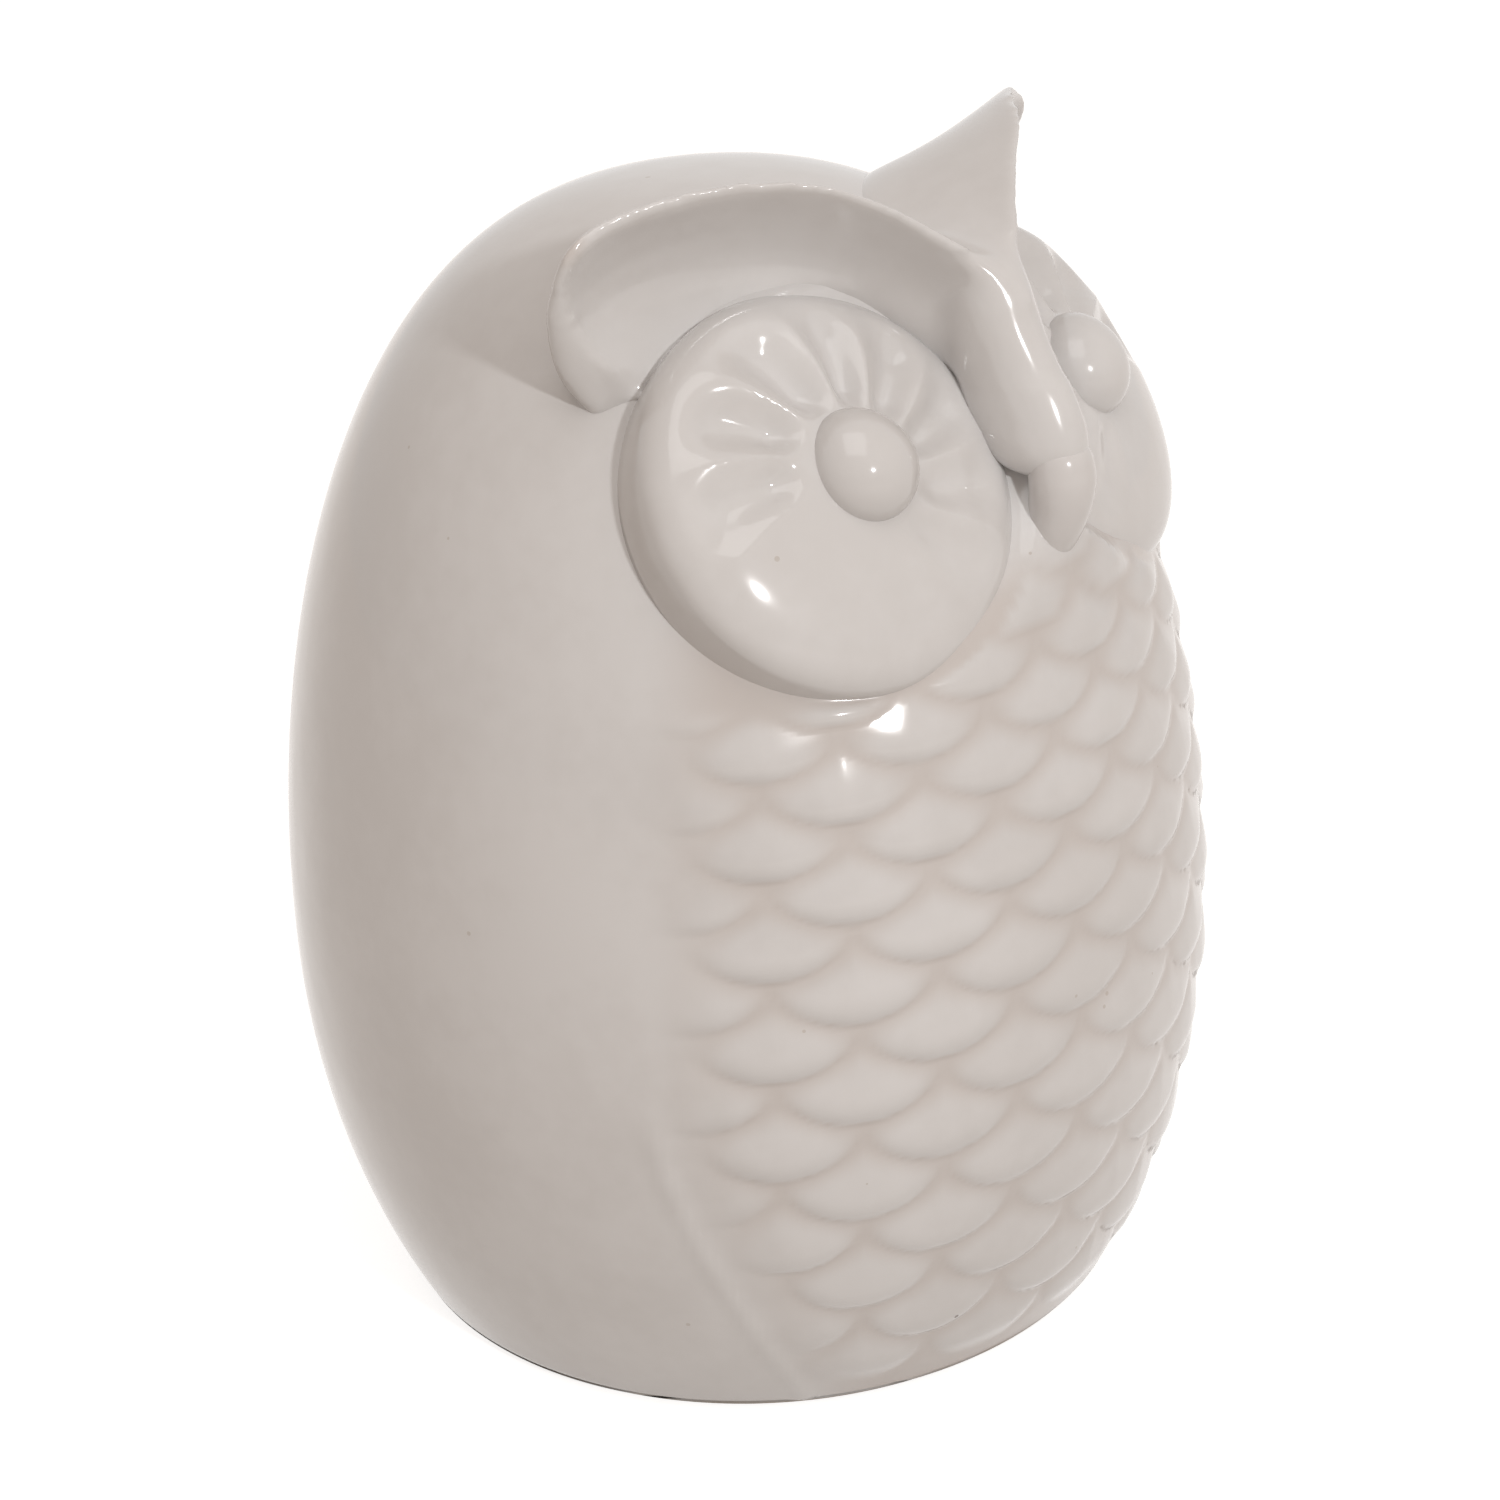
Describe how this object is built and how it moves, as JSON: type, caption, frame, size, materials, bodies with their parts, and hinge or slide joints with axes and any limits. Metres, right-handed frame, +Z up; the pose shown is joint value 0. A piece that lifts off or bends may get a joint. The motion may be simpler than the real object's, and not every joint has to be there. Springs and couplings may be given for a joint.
{
  "type": "owl figurine",
  "caption": "Glazed ceramic owl figurine: hollow egg-shaped body, fluted eye discs, brows that rise into ear tufts, a short beak and overlapping breast feathers, on a flat foot.",
  "frame": {"origin": "centre of the bounding box at the plane of the foot ring", "axes": "+Z up through the crown of the head, the owl faces -Y, +X is the owl's left side"},
  "size_m": [0.149, 0.1506, 0.1892],
  "materials": {
    "white_glaze": "glossy off-white glaze over white stoneware, with faint grey specks",
    "worn_glaze": "thin glossy glaze over a ridge, slightly greyer than the rest"
  },
  "bodies": {
    "root": {"body_shell": "white_glaze", "right_eye_disc": "white_glaze", "left_eye_disc": "white_glaze", "right_pupil": "white_glaze", "left_pupil": "white_glaze", "right_brow_crest": "white_glaze", "left_brow_crest": "white_glaze", "brow_bridge": "white_glaze", "beak": "worn_glaze", "feather_row_01": "white_glaze", "feather_row_02": "white_glaze", "feather_row_03": "white_glaze", "feather_row_04": "white_glaze", "feather_row_05": "white_glaze", "feather_row_06": "white_glaze", "feather_row_07": "white_glaze", "feather_row_08": "white_glaze", "feather_row_09": "white_glaze", "feather_row_10": "white_glaze", "feather_row_11": "white_glaze", "feather_row_12": "white_glaze", "feather_row_13": "white_glaze", "feather_row_14": "white_glaze", "feather_row_15": "white_glaze"}
  },
  "joints": []
}
